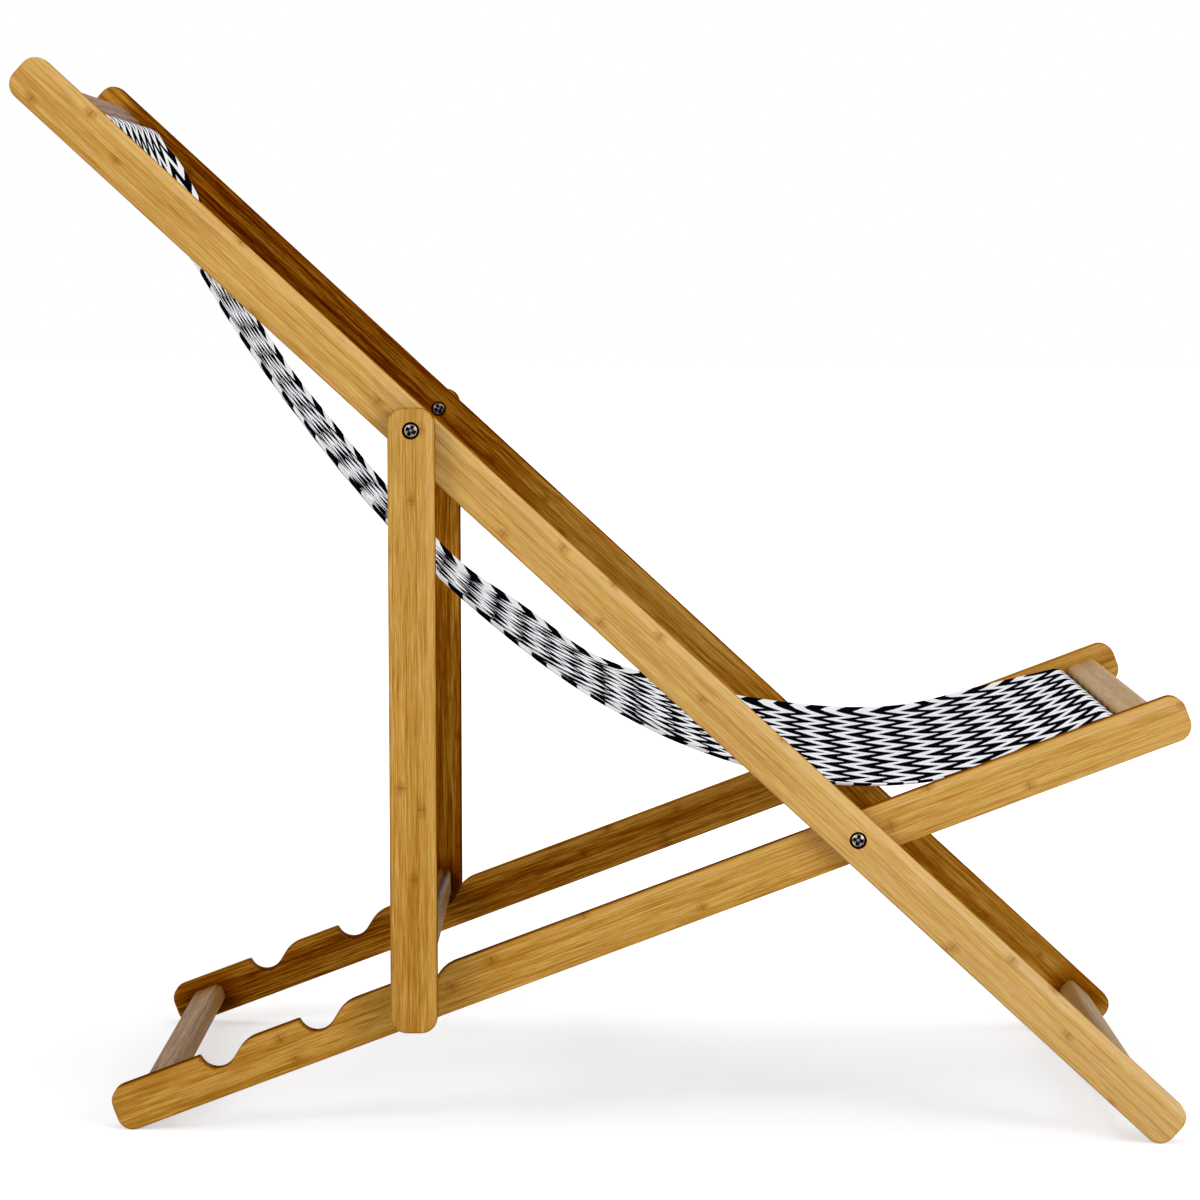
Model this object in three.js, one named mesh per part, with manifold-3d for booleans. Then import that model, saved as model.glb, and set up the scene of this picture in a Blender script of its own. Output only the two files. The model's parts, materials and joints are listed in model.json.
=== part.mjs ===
// Folding recliner: three nested bamboo frames, a fabric sling and cross-headed pivot bolts.
// Millimetres, +Z up, +X towards the front of the seat, +Y on the sitter's left.
// The chair stands as in use, with the prop's bar in the foremost notch of the seat rails.

import * as THREE from 'three';
import { mergeVertices } from 'three/addons/utils/BufferGeometryUtils.js';
import Module from 'manifold-3d';

const wasm = await Module();
wasm.setup();

// Driving dimensions: boards
const RAIL_WIDTH = 40;
const BOARD_THICKNESS = 18;
const OVERALL_WIDTH = 590;
const FRAME_GAP = 2;
const END_RADIUS = 14;
const EDGE_ROUND = 2.5;
const EDGE_SEGMENTS = 2;
const CORNER_SEGMENTS = 5;

// Driving dimensions: back frame, measured along its rails from the main pivot
const BACK_ANGLE = THREE.MathUtils.degToRad(42.2);
const BACK_TO_HEAD = 970;
const BACK_TO_FOOT = 376;
const HEAD_BAR_AT = -933;
const HEAD_ROD_AT = -901;
const FOOT_BAR_AT = 340;
const PROP_PIVOT_AT = -519;

// Driving dimensions: seat frame, measured along its rails from the main pivot
const SEAT_TO_FRONT = 304;
const SEAT_TO_REAR = 686;
const FRONT_BAR_AT = 270;
const SEAT_ROD_AT = 239;
const REAR_BAR_AT = -651;

// Driving dimensions: the notches that the prop's bar hooks into
const NOTCH_COUNT = 3;
const FIRST_NOTCH_AT = -399;
const NOTCH_PITCH = 92.5;
const NOTCH_RADIUS = 16;
const RAMP_ANGLE = THREE.MathUtils.degToRad(38);
const RAMP_RADIUS = 30;

// Driving dimensions: prop frame
const LEG_ABOVE_PIVOT = 19;
const LEG_BELOW_PIVOT = 516;

// Driving dimensions: crossbars with stub tenons, and the sling's rods
const BAR_WIDTH = 30;
const BAR_RADIUS = 6;
const BAR_SEGMENTS = 4;
const TENON_WIDTH = 20;
const TENON_THICKNESS = 9;
const TENON_DEPTH = 10;
const TENON_RADIUS = 3;
const TENON_SEGMENTS = 3;
const ROD_RADIUS = 12.5;
const ROD_SIDES = 28;
const SPIGOT_RADIUS = 8;
const SPIGOT_CHAMFER = 1;
const GAP = 0.3;

// Driving dimensions: pivot hardware
const BORE_RADIUS = 4.4;
const SINK_RADIUS = 7.2;
const SINK_DEPTH = 3.4;
const HOLE_SIDES = 24;
const SINK_SIDES = 32;
const HEAD_RADIUS = 6.3;
const HEAD_HEIGHT = 2.6;
const HEAD_SIDES = 20;
const SLEEVE_RADIUS = 4;
const SLEEVE_BORE = 2.8;
const SLEEVE_FLOOR = 1.5;
const SLEEVE_SHORT_OF_SINK = 1.2;
const SHANK_RADIUS = 2.5;
const SCREW_POINT_RADIUS = 1.7;
const SCREW_POINT_LENGTH = 1.5;
const SCREW_SHORT_OF_SINK = 3;
const WASHER_RADIUS = 11;
const RECESS_WIDTH = 1.4;
const RECESS_SPAN = 7.5;
const RECESS_DEPTH = 1.5;

// Driving dimensions: sling
const SLING_WIDTH = 458;
const SLING_THICKNESS = 1.5;
const SLING_STEPS = 36;
const HEM_STEPS = 20;
const TUNNEL_SEGMENTS = 12;

// How far each cutting shape reaches past the face that it cuts
const OVERCUT = 1;

// Profile of a domed screw head, from its seat to its crown, as shares of its radius and height
const HEAD_DOME = [
  [1, 0],
  [1, 0.45],
  [0.88, 0.78],
  [0.6, 0.95],
  [0, 1],
];

// The sling's hanging line, from the head rod to the seat rod, in X and Z from the main pivot
const HANG = [
  [-631, 557],
  [-579, 475],
  [-503, 361],
  [-410, 257],
  [-290, 157],
  [-190, 97],
  [-104, 66],
  [-18, 51],
  [72, 55],
  [152, 78],
];

// Where the sling leaves the head rod and meets the seat rod, as directions from their axes
const LEAVE_HEAD = new THREE.Vector2(0.84, 0.54).normalize();
const MEET_SEAT = new THREE.Vector2(-0.24, 0.97).normalize();

// Colours, with the bars a little darker than the rails
const BAMBOO = 0xcfa163;
const BAR_SHADE = 0.85;
const ROD_SHADE = 0.9;
const STEEL = 0x8d8983;
const CANVAS = 0xb9b9bc;

// Layers across the width, from the prop's legs inwards
const LEG_OUTER = OVERALL_WIDTH / 2;
const LEG_INNER = LEG_OUTER - BOARD_THICKNESS;
const BACK_OUTER = LEG_INNER - FRAME_GAP;
const BACK_INNER = BACK_OUTER - BOARD_THICKNESS;
const SEAT_OUTER = BACK_INNER - FRAME_GAP;
const SEAT_INNER = SEAT_OUTER - BOARD_THICKNESS;

// Height of the main pivot over a floor that the round corner of a tilted rail end touches
const cornerInset = RAIL_WIDTH / 2 - END_RADIUS;
const footArm = BACK_TO_FOOT - END_RADIUS;
const PIVOT_HEIGHT = footArm * Math.sin(BACK_ANGLE) + cornerInset * Math.cos(BACK_ANGLE) + END_RADIUS;

// Seat angle that brings the rear ends of the seat rails down to the same floor
const rearArm = SEAT_TO_REAR - END_RADIUS;
const SEAT_ANGLE = Math.asin((PIVOT_HEIGHT - END_RADIUS) / Math.hypot(rearArm, cornerInset))
  - Math.atan2(cornerInset, rearArm);

// A point given along a tilted rail and square to it, as X and Z from the main pivot
function onBack(along, across) {
  const x = along * Math.cos(BACK_ANGLE) + across * Math.sin(BACK_ANGLE);
  const z = across * Math.cos(BACK_ANGLE) - along * Math.sin(BACK_ANGLE);
  return new THREE.Vector2(x, z);
}

function onSeat(along, across) {
  const x = along * Math.cos(SEAT_ANGLE) - across * Math.sin(SEAT_ANGLE);
  const z = across * Math.cos(SEAT_ANGLE) + along * Math.sin(SEAT_ANGLE);
  return new THREE.Vector2(x, z);
}

// The prop hangs from the back rails, and its bar lies in the foremost notch
const propPivot = onBack(PROP_PIVOT_AT, 0);
const notchCentre = onSeat(FIRST_NOTCH_AT, RAIL_WIDTH / 2);
const propReach = propPivot.distanceTo(notchCentre);
const PROP_TILT = -Math.atan2(notchCentre.x - propPivot.x, propPivot.y - notchCentre.y);

// The bar's two lower corners bed in the notch, one gap short of touching
const bedArm = Math.sqrt((NOTCH_RADIUS - BAR_RADIUS - GAP) ** 2 - (BOARD_THICKNESS / 2 - BAR_RADIUS) ** 2);
const PROP_BAR_AT = propReach + bedArm - (BAR_WIDTH / 2 - BAR_RADIUS);

// Materials, one for each mesh
function bamboo(shade) {
  const colour = new THREE.Color(BAMBOO).multiplyScalar(shade);
  return new THREE.MeshStandardMaterial({ color: colour, roughness: 0.5, metalness: 0 });
}

function steel() {
  return new THREE.MeshStandardMaterial({ color: STEEL, roughness: 0.35, metalness: 0.9 });
}

function canvas() {
  return new THREE.MeshStandardMaterial({ color: CANVAS, roughness: 0.9, metalness: 0 });
}

// Solids: closed meshes to and from the boolean library
function toSolid(geometry) {
  const plain = geometry.clone();
  plain.deleteAttribute('normal');
  plain.deleteAttribute('uv');
  const merged = mergeVertices(plain, 1e-4);
  const vertProperties = new Float32Array(merged.attributes.position.array);
  const triVerts = new Uint32Array(merged.index.array);
  return new wasm.Manifold(new wasm.Mesh({ numProp: 3, vertProperties, triVerts }));
}

function toGeometry(solid) {
  const mesh = solid.getMesh();
  const geometry = new THREE.BufferGeometry();
  geometry.setAttribute('position', new THREE.BufferAttribute(mesh.vertProperties, 3));
  geometry.setIndex(new THREE.BufferAttribute(mesh.triVerts, 1));
  return geometry;
}

function cut(geometry, tools) {
  let solid = toSolid(geometry);
  for (const tool of tools) {
    solid = solid.subtract(toSolid(tool));
  }
  return toGeometry(solid);
}

function join(first, second) {
  return toGeometry(toSolid(first).add(toSolid(second)));
}

// An outline in X and Z, given a thickness along Y between two faces
function slab(shape, yFrom, yTo, edgeRound, curveSegments) {
  const depth = yTo - yFrom - 2 * edgeRound;
  const geometry = new THREE.ExtrudeGeometry(shape, {
    depth,
    curveSegments,
    bevelEnabled: edgeRound > 0,
    bevelThickness: edgeRound,
    bevelSize: edgeRound,
    bevelOffset: -edgeRound,
    bevelSegments: EDGE_SEGMENTS,
  });
  geometry.rotateX(Math.PI / 2);
  geometry.translate(0, yTo - edgeRound, 0);
  return geometry;
}

function roundedRectangle(xFrom, xTo, zFrom, zTo, radius) {
  const shape = new THREE.Shape();
  shape.absarc(xTo - radius, zFrom + radius, radius, -Math.PI / 2, 0, false);
  shape.absarc(xTo - radius, zTo - radius, radius, 0, Math.PI / 2, false);
  shape.absarc(xFrom + radius, zTo - radius, radius, Math.PI / 2, Math.PI, false);
  shape.absarc(xFrom + radius, zFrom + radius, radius, Math.PI, 1.5 * Math.PI, false);
  return shape;
}

// A round pin along Y
function pin(x, z, radius, yFrom, yTo, sides) {
  const geometry = new THREE.CylinderGeometry(radius, radius, yTo - yFrom, sides);
  geometry.translate(x, (yFrom + yTo) / 2, z);
  return geometry;
}

// Rails: boards with round ends, and on the seat rails the notches

function railShape(xFrom, xTo) {
  return roundedRectangle(xFrom, xTo, -RAIL_WIDTH / 2, RAIL_WIDTH / 2, END_RADIUS);
}

// Each notch has a sharp hook behind, a round bed, and a long ramp that leads the bar in from the front
function notchedRailShape() {
  const top = RAIL_WIDTH / 2;
  const rampReach = (NOTCH_RADIUS + RAMP_RADIUS) * Math.sin(RAMP_ANGLE)
    + ((NOTCH_RADIUS + RAMP_RADIUS) * Math.cos(RAMP_ANGLE) - RAMP_RADIUS) / Math.tan(RAMP_ANGLE);
  const front = SEAT_TO_FRONT - END_RADIUS;
  const rear = -SEAT_TO_REAR + END_RADIUS;
  const shape = new THREE.Shape();
  shape.absarc(front, -top + END_RADIUS, END_RADIUS, -Math.PI / 2, 0, false);
  shape.absarc(front, top - END_RADIUS, END_RADIUS, 0, Math.PI / 2, false);
  for (let i = 0; i < NOTCH_COUNT; i += 1) {
    const x = FIRST_NOTCH_AT - i * NOTCH_PITCH;
    shape.absarc(x + rampReach, top - RAMP_RADIUS, RAMP_RADIUS, Math.PI / 2, Math.PI / 2 + RAMP_ANGLE, false);
    shape.absarc(x, top, NOTCH_RADIUS, RAMP_ANGLE - Math.PI / 2, -Math.PI, true);
  }
  shape.absarc(rear, top - END_RADIUS, END_RADIUS, Math.PI / 2, Math.PI, false);
  shape.absarc(rear, -top + END_RADIUS, END_RADIUS, Math.PI, 1.5 * Math.PI, false);
  return shape;
}

// A blind mortise for a crossbar's stub tenon, sunk into a rail's inner face on the side y < inner
function mortise(x, z, upright, inner) {
  const half = TENON_WIDTH / 2 + GAP;
  const thin = TENON_THICKNESS / 2 + GAP;
  const [dx, dz] = upright ? [thin, half] : [half, thin];
  const shape = roundedRectangle(x - dx, x + dx, z - dz, z + dz, TENON_RADIUS + GAP);
  return slab(shape, inner - OVERCUT, inner + TENON_DEPTH + GAP, 0, TENON_SEGMENTS);
}

function rodSocket(x, inner) {
  return pin(x, 0, SPIGOT_RADIUS + GAP, inner - OVERCUT, inner + TENON_DEPTH + GAP, HOLE_SIDES);
}

function bore(x, z, yFrom, yTo) {
  return pin(x, z, BORE_RADIUS, yFrom - OVERCUT, yTo + OVERCUT, HOLE_SIDES);
}

function sinkOuter(x, z, outer) {
  return pin(x, z, SINK_RADIUS, outer - SINK_DEPTH, outer + OVERCUT, SINK_SIDES);
}

function sinkInner(x, z, inner) {
  return pin(x, z, SINK_RADIUS, inner - OVERCUT, inner + SINK_DEPTH, SINK_SIDES);
}

function backRail() {
  const outline = railShape(-BACK_TO_HEAD, BACK_TO_FOOT);
  const board = slab(outline, BACK_INNER, BACK_OUTER, EDGE_ROUND, CORNER_SEGMENTS);
  return cut(board, [
    mortise(HEAD_BAR_AT, 0, false, BACK_INNER),
    mortise(FOOT_BAR_AT, 0, false, BACK_INNER),
    rodSocket(HEAD_ROD_AT, BACK_INNER),
    bore(0, 0, BACK_INNER, BACK_OUTER),
    sinkOuter(0, 0, BACK_OUTER),
    bore(PROP_PIVOT_AT, 0, BACK_INNER, BACK_OUTER),
    sinkInner(PROP_PIVOT_AT, 0, BACK_INNER),
  ]);
}

function seatRail() {
  const board = slab(notchedRailShape(), SEAT_INNER, SEAT_OUTER, EDGE_ROUND, CORNER_SEGMENTS);
  return cut(board, [
    mortise(FRONT_BAR_AT, 0, false, SEAT_INNER),
    mortise(REAR_BAR_AT, 0, false, SEAT_INNER),
    rodSocket(SEAT_ROD_AT, SEAT_INNER),
    bore(0, 0, SEAT_INNER, SEAT_OUTER),
    sinkInner(0, 0, SEAT_INNER),
  ]);
}

function propLeg() {
  const half = RAIL_WIDTH / 2;
  const outline = roundedRectangle(-half, half, -LEG_BELOW_PIVOT, LEG_ABOVE_PIVOT, END_RADIUS);
  const board = slab(outline, LEG_INNER, LEG_OUTER, EDGE_ROUND, CORNER_SEGMENTS);
  return cut(board, [
    mortise(0, -PROP_BAR_AT, true, LEG_INNER),
    bore(0, 0, LEG_INNER, LEG_OUTER),
    sinkOuter(0, 0, LEG_OUTER),
  ]);
}

// Crossbars: flat bars with well rounded edges, with a stub tenon at each end
function crossbar(x, z, upright, inner) {
  const thick = BOARD_THICKNESS / 2;
  const wide = BAR_WIDTH / 2;
  const [dx, dz] = upright ? [thick, wide] : [wide, thick];
  const tenonThin = TENON_THICKNESS / 2;
  const tenonWide = TENON_WIDTH / 2;
  const [tx, tz] = upright ? [tenonThin, tenonWide] : [tenonWide, tenonThin];
  const section = roundedRectangle(x - dx, x + dx, z - dz, z + dz, BAR_RADIUS);
  const tenonSection = roundedRectangle(x - tx, x + tx, z - tz, z + tz, TENON_RADIUS);
  const shoulder = inner - GAP;
  const tip = inner + TENON_DEPTH;
  const body = slab(section, -shoulder, shoulder, 0, BAR_SEGMENTS);
  const tenons = slab(tenonSection, -tip, tip, 0, TENON_SEGMENTS);
  return join(body, tenons);
}

// A sling rod is one revolved bar, stepped down to a spigot at each end
function slingRod(x, inner) {
  const shoulder = inner - GAP;
  const tip = inner + TENON_DEPTH;
  const profile = [
    new THREE.Vector2(0, -tip),
    new THREE.Vector2(SPIGOT_RADIUS - SPIGOT_CHAMFER, -tip),
    new THREE.Vector2(SPIGOT_RADIUS, -tip + SPIGOT_CHAMFER),
    new THREE.Vector2(SPIGOT_RADIUS, -shoulder),
    new THREE.Vector2(ROD_RADIUS, -shoulder),
    new THREE.Vector2(ROD_RADIUS, shoulder),
    new THREE.Vector2(SPIGOT_RADIUS, shoulder),
    new THREE.Vector2(SPIGOT_RADIUS, tip - SPIGOT_CHAMFER),
    new THREE.Vector2(SPIGOT_RADIUS - SPIGOT_CHAMFER, tip),
    new THREE.Vector2(0, tip),
  ];
  const geometry = new THREE.LatheGeometry(profile, ROD_SIDES);
  geometry.translate(x, 0, 0);
  return geometry;
}

// Pivot hardware, modelled on the +Y side with its axis on Y through the origin.
// A flanged sleeve comes through from inside, and a screw enters it from outside.

function crossRecess(yFrom, yTo) {
  const depth = yTo - yFrom;
  const first = new THREE.BoxGeometry(RECESS_SPAN, depth, RECESS_WIDTH);
  const second = new THREE.BoxGeometry(RECESS_WIDTH, depth, RECESS_SPAN);
  first.translate(0, (yFrom + yTo) / 2, 0);
  second.translate(0, (yFrom + yTo) / 2, 0);
  return [first, second];
}

// A domed head, from its flat seat to its crown along the direction of side
function headProfile(seat, side) {
  return HEAD_DOME.map(([out, up]) => new THREE.Vector2(HEAD_RADIUS * out, seat + side * HEAD_HEIGHT * up));
}

function pivotScrew(inner, outer) {
  const seat = outer - SINK_DEPTH + GAP;
  const tip = inner + SINK_DEPTH + SCREW_SHORT_OF_SINK;
  const profile = [
    new THREE.Vector2(0, tip),
    new THREE.Vector2(SCREW_POINT_RADIUS, tip),
    new THREE.Vector2(SHANK_RADIUS, tip + SCREW_POINT_LENGTH),
    new THREE.Vector2(SHANK_RADIUS, seat),
    ...headProfile(seat, 1),
  ];
  const crown = seat + HEAD_HEIGHT;
  return cut(new THREE.LatheGeometry(profile, HEAD_SIDES), crossRecess(crown - RECESS_DEPTH, crown + OVERCUT));
}

function pivotSleeve(inner, outer) {
  const seat = inner + SINK_DEPTH - GAP;
  const open = outer - SINK_DEPTH - SLEEVE_SHORT_OF_SINK;
  const blind = inner + SINK_DEPTH + SLEEVE_FLOOR;
  const profile = [
    ...headProfile(seat, -1).reverse(),
    new THREE.Vector2(SLEEVE_RADIUS, seat),
    new THREE.Vector2(SLEEVE_RADIUS, open),
    new THREE.Vector2(SLEEVE_BORE, open),
    new THREE.Vector2(SLEEVE_BORE, blind),
    new THREE.Vector2(0, blind),
  ];
  const crown = seat - HEAD_HEIGHT;
  return cut(new THREE.LatheGeometry(profile, HEAD_SIDES), crossRecess(crown - OVERCUT, crown + RECESS_DEPTH));
}

// A flat washer keeps two rails apart
function washer(gapFrom) {
  const from = gapFrom + GAP;
  const to = gapFrom + FRAME_GAP - GAP;
  const profile = [
    new THREE.Vector2(BORE_RADIUS, from),
    new THREE.Vector2(WASHER_RADIUS, from),
    new THREE.Vector2(WASHER_RADIUS, to),
    new THREE.Vector2(BORE_RADIUS, to),
    new THREE.Vector2(BORE_RADIUS, from),
  ];
  return new THREE.LatheGeometry(profile, HOLE_SIDES);
}

// Sling: one length of cloth from rod to rod, with a tunnel hem round each rod.
// Its line hangs from the head rod down between the rails and runs out over the seat rod.

function slingLine(headRod, seatRod, layRadius) {
  const points = [headRod.clone().addScaledVector(LEAVE_HEAD, layRadius)];
  for (const [x, z] of HANG) {
    points.push(new THREE.Vector2(x, z));
  }
  points.push(seatRod.clone().addScaledVector(MEET_SEAT, layRadius));
  return new THREE.SplineCurve(points);
}

function sling(headRod, seatRod) {
  const holeRadius = ROD_RADIUS + GAP;
  const hemRadius = holeRadius + SLING_THICKNESS;
  const line = slingLine(headRod, seatRod, holeRadius + SLING_THICKNESS / 2);
  const upper = [];
  const lower = [];
  for (let i = 0; i <= SLING_STEPS; i += 1) {
    const at = i / SLING_STEPS;
    const point = line.getPointAt(at);
    const along = line.getTangentAt(at);
    const across = new THREE.Vector2(-along.y, along.x).multiplyScalar(SLING_THICKNESS / 2);
    upper.push(point.clone().add(across));
    const under = point.clone().sub(across);
    const clear = Math.min(under.distanceTo(headRod), under.distanceTo(seatRod));
    if (clear > hemRadius) {
      lower.push(under);
    }
  }
  const outline = new THREE.Shape();
  upper.forEach((point, i) => (i === 0 ? outline.moveTo(point.x, point.y) : outline.lineTo(point.x, point.y)));
  hemArc(outline, seatRod, hemRadius, upper[upper.length - 1], lower[lower.length - 1]);
  for (const point of lower.reverse()) {
    outline.lineTo(point.x, point.y);
  }
  hemArc(outline, headRod, hemRadius, lower[lower.length - 1], upper[0]);
  for (const rod of [headRod, seatRod]) {
    const hole = new THREE.Path();
    hole.absarc(rod.x, rod.y, holeRadius, 0, 2 * Math.PI, false);
    outline.holes.push(hole);
  }
  return slab(outline, -SLING_WIDTH / 2, SLING_WIDTH / 2, 0, TUNNEL_SEGMENTS);
}

// The outside of a hem, clockwise round its rod between two ends of the cloth
function hemArc(outline, rod, radius, from, to) {
  const start = Math.atan2(from.y - rod.y, from.x - rod.x);
  let end = Math.atan2(to.y - rod.y, to.x - rod.x);
  if (end > start) {
    end -= 2 * Math.PI;
  }
  for (let i = 1; i < HEM_STEPS; i += 1) {
    const angle = start + (end - start) * (i / HEM_STEPS);
    outline.lineTo(rod.x + radius * Math.cos(angle), rod.y + radius * Math.sin(angle));
  }
}

// Assembly

// The same piece on the -Y side: reflected, with each triangle turned to face out again
function mirrored(geometry) {
  const copy = mergeVertices(geometry.clone().deleteAttribute('normal').deleteAttribute('uv'), 1e-4);
  copy.scale(1, -1, 1);
  const corners = copy.index.array;
  for (let i = 0; i < corners.length; i += 3) {
    const second = corners[i + 1];
    corners[i + 1] = corners[i + 2];
    corners[i + 2] = second;
  }
  return copy;
}

function addMesh(group, name, geometry, material) {
  const mesh = new THREE.Mesh(geometry, material);
  mesh.name = name;
  group.add(mesh);
}

function addPair(group, name, geometry, makeMaterial) {
  addMesh(group, `${name}_left`, geometry, makeMaterial());
  addMesh(group, `${name}_right`, mirrored(geometry), makeMaterial());
}

const backFrame = new THREE.Group();
backFrame.rotation.y = BACK_ANGLE;
addPair(backFrame, 'back_rail', backRail(), () => bamboo(1));
addMesh(backFrame, 'head_crossbar', crossbar(HEAD_BAR_AT, 0, false, BACK_INNER), bamboo(BAR_SHADE));
addMesh(backFrame, 'foot_crossbar', crossbar(FOOT_BAR_AT, 0, false, BACK_INNER), bamboo(BAR_SHADE));
addMesh(backFrame, 'head_sling_rod', slingRod(HEAD_ROD_AT, BACK_INNER), bamboo(ROD_SHADE));

const seatFrame = new THREE.Group();
seatFrame.rotation.y = -SEAT_ANGLE;
addPair(seatFrame, 'seat_rail', seatRail(), () => bamboo(1));
addMesh(seatFrame, 'front_crossbar', crossbar(FRONT_BAR_AT, 0, false, SEAT_INNER), bamboo(BAR_SHADE));
addMesh(seatFrame, 'rear_crossbar', crossbar(REAR_BAR_AT, 0, false, SEAT_INNER), bamboo(BAR_SHADE));
addMesh(seatFrame, 'seat_sling_rod', slingRod(SEAT_ROD_AT, SEAT_INNER), bamboo(ROD_SHADE));

const propFrame = new THREE.Group();
propFrame.position.set(propPivot.x, 0, propPivot.y);
propFrame.rotation.y = PROP_TILT;
addPair(propFrame, 'prop_leg', propLeg(), () => bamboo(1));
addMesh(propFrame, 'prop_crossbar', crossbar(0, -PROP_BAR_AT, true, LEG_INNER), bamboo(BAR_SHADE));

const mainPivot = new THREE.Group();
addPair(mainPivot, 'main_pivot_screw', pivotScrew(SEAT_INNER, BACK_OUTER), steel);
addPair(mainPivot, 'main_pivot_sleeve', pivotSleeve(SEAT_INNER, BACK_OUTER), steel);
addPair(mainPivot, 'main_pivot_washer', washer(SEAT_OUTER), steel);

const propPivotSet = new THREE.Group();
propPivotSet.position.set(propPivot.x, 0, propPivot.y);
addPair(propPivotSet, 'prop_pivot_screw', pivotScrew(BACK_INNER, LEG_OUTER), steel);
addPair(propPivotSet, 'prop_pivot_sleeve', pivotSleeve(BACK_INNER, LEG_OUTER), steel);
addPair(propPivotSet, 'prop_pivot_washer', washer(BACK_OUTER), steel);

const chair = new THREE.Group();
chair.add(backFrame, seatFrame, propFrame, mainPivot, propPivotSet);
addMesh(chair, 'sling', sling(onBack(HEAD_ROD_AT, 0), onSeat(SEAT_ROD_AT, 0)), canvas());

// The chair stands on z = 0, with the middle of its box over the origin
const box = new THREE.Box3().setFromObject(chair, true);
chair.position.set(-(box.min.x + box.max.x) / 2, 0, PIVOT_HEIGHT);

const recliner = new THREE.Group();
recliner.add(chair);
recliner.updateMatrixWorld(true);

export default recliner;
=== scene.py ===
"""Folding bamboo recliner with a zig-zag sling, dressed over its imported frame.

Everything is in metres in the chair's own frame: +X to the front of the seat, +Y to the
sitter's left, +Z up, with the floor at z = 0. Shapes are worked out in millimetres and
scaled as they are put into meshes.
"""

import json
import math

import bmesh
import bpy
import numpy as np
from mathutils import Matrix, Vector
from mathutils.geometry import tessellate_polygon


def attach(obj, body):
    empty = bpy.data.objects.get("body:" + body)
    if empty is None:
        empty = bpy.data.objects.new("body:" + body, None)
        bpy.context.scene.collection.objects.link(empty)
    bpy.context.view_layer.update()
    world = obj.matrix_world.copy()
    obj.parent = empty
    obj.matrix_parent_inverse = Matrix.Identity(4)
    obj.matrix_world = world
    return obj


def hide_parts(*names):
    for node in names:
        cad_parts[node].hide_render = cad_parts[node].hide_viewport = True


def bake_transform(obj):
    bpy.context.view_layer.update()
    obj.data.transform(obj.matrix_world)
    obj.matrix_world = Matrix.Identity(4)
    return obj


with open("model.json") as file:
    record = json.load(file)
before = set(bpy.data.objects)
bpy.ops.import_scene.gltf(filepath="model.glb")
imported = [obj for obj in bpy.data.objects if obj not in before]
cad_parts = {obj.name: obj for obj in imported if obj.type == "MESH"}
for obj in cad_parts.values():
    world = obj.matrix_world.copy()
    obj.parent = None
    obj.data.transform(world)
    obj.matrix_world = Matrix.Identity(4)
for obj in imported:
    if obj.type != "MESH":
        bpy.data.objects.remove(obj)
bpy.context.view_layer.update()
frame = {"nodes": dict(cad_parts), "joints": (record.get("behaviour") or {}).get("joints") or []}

MM = 0.001

# ---- sizes, in millimetres, the same as the solids' ----
RAIL_WIDTH = 40.0
END_RADIUS = 14.0
EDGE_ROUND = 2.4
LEG_LAYER = (277.0, 295.0)
BACK_LAYER = (257.0, 275.0)
SEAT_LAYER = (237.0, 255.0)

BACK_ANGLE = math.radians(42.2)
BACK_TO_HEAD, BACK_TO_FOOT = 970.0, 376.0
HEAD_BAR_AT, HEAD_ROD_AT, FOOT_BAR_AT = -933.0, -901.0, 340.0
PROP_PIVOT_AT = -519.0

SEAT_TO_FRONT, SEAT_TO_REAR = 304.0, 686.0
FRONT_BAR_AT, SEAT_ROD_AT, REAR_BAR_AT = 270.0, 239.0, -651.0
NOTCHES_AT = (-399.0, -491.5, -584.0)
NOTCH_RADIUS, RAMP_RADIUS, TIP_RADIUS = 16.0, 30.0, 2.0
RAMP_ANGLE = math.radians(38)
SEAT_EDGE_ROUND = 1.8

LEG_ABOVE, LEG_BELOW = 19.0, 516.0
BAR_WIDTH, BAR_THICKNESS, BAR_RADIUS = 30.0, 18.0, 6.0
BAR_END_ROUND, BAR_REACH = 0.3, 0.1
NOTCH_GAP = 0.3
ROD_RADIUS, ROD_SIDES = 12.5, 48
SINK_RADIUS, SINK_DEPTH, BORE_RADIUS, HOLE_SIDES = 7.2, 3.4, 4.4, 40
MOUTH_ROUND, MOUTH_BEND = 0.4, 0.12
HEAD_RADIUS, HEAD_HEIGHT, HEAD_GAP, HEAD_SIDES = 5.9, 2.5, 0.3, 120

# Painted shade: how much deeper the wood's tone is made over an edge and round its inner arris, and
# how deep it is made in a hole, where shade falls
EDGE_PAINTED_SHADE = (0.45, 1.3)
HOLE_PAINTED_SHADE = 2.4

# A place along the grain that is far from every bar, and the step in the grain from one seed
# to the next, by which no two boards are alike
NOWHERE = 1e6
GRAIN_SHIFT = np.array([613.0, 97.0, 41.0])

hinges = {joint["name"]: np.array(joint["pos_m"]) / MM for joint in frame["joints"]}
MAIN = hinges["main_fold"]
PROP = hinges["prop_swing"]


# ---- putting arrays into meshes ----

def put(name, points, faces, body=None, smooth=True, vectors=None):
    """A mesh from an array of points in millimetres and a list of face index arrays.

    smooth is one flag for all faces or one for each, and vectors are named values at the
    points, which the materials read."""
    mesh = bpy.data.meshes.new(name)
    mesh.from_pydata((np.asarray(points, float) * MM).tolist(), [], faces)
    mesh.update()
    for key, values in (vectors or {}).items():
        layer = mesh.attributes.new(key, "FLOAT_VECTOR", "POINT")
        layer.data.foreach_set("vector", np.asarray(values, np.float32).ravel())
    flags = np.empty(len(mesh.polygons), bool)
    flags[:] = smooth
    mesh.polygons.foreach_set("use_smooth", flags)
    piece = bpy.data.objects.new(name, mesh)
    bpy.context.collection.objects.link(piece)
    if body:
        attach(piece, body)
    return piece


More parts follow.
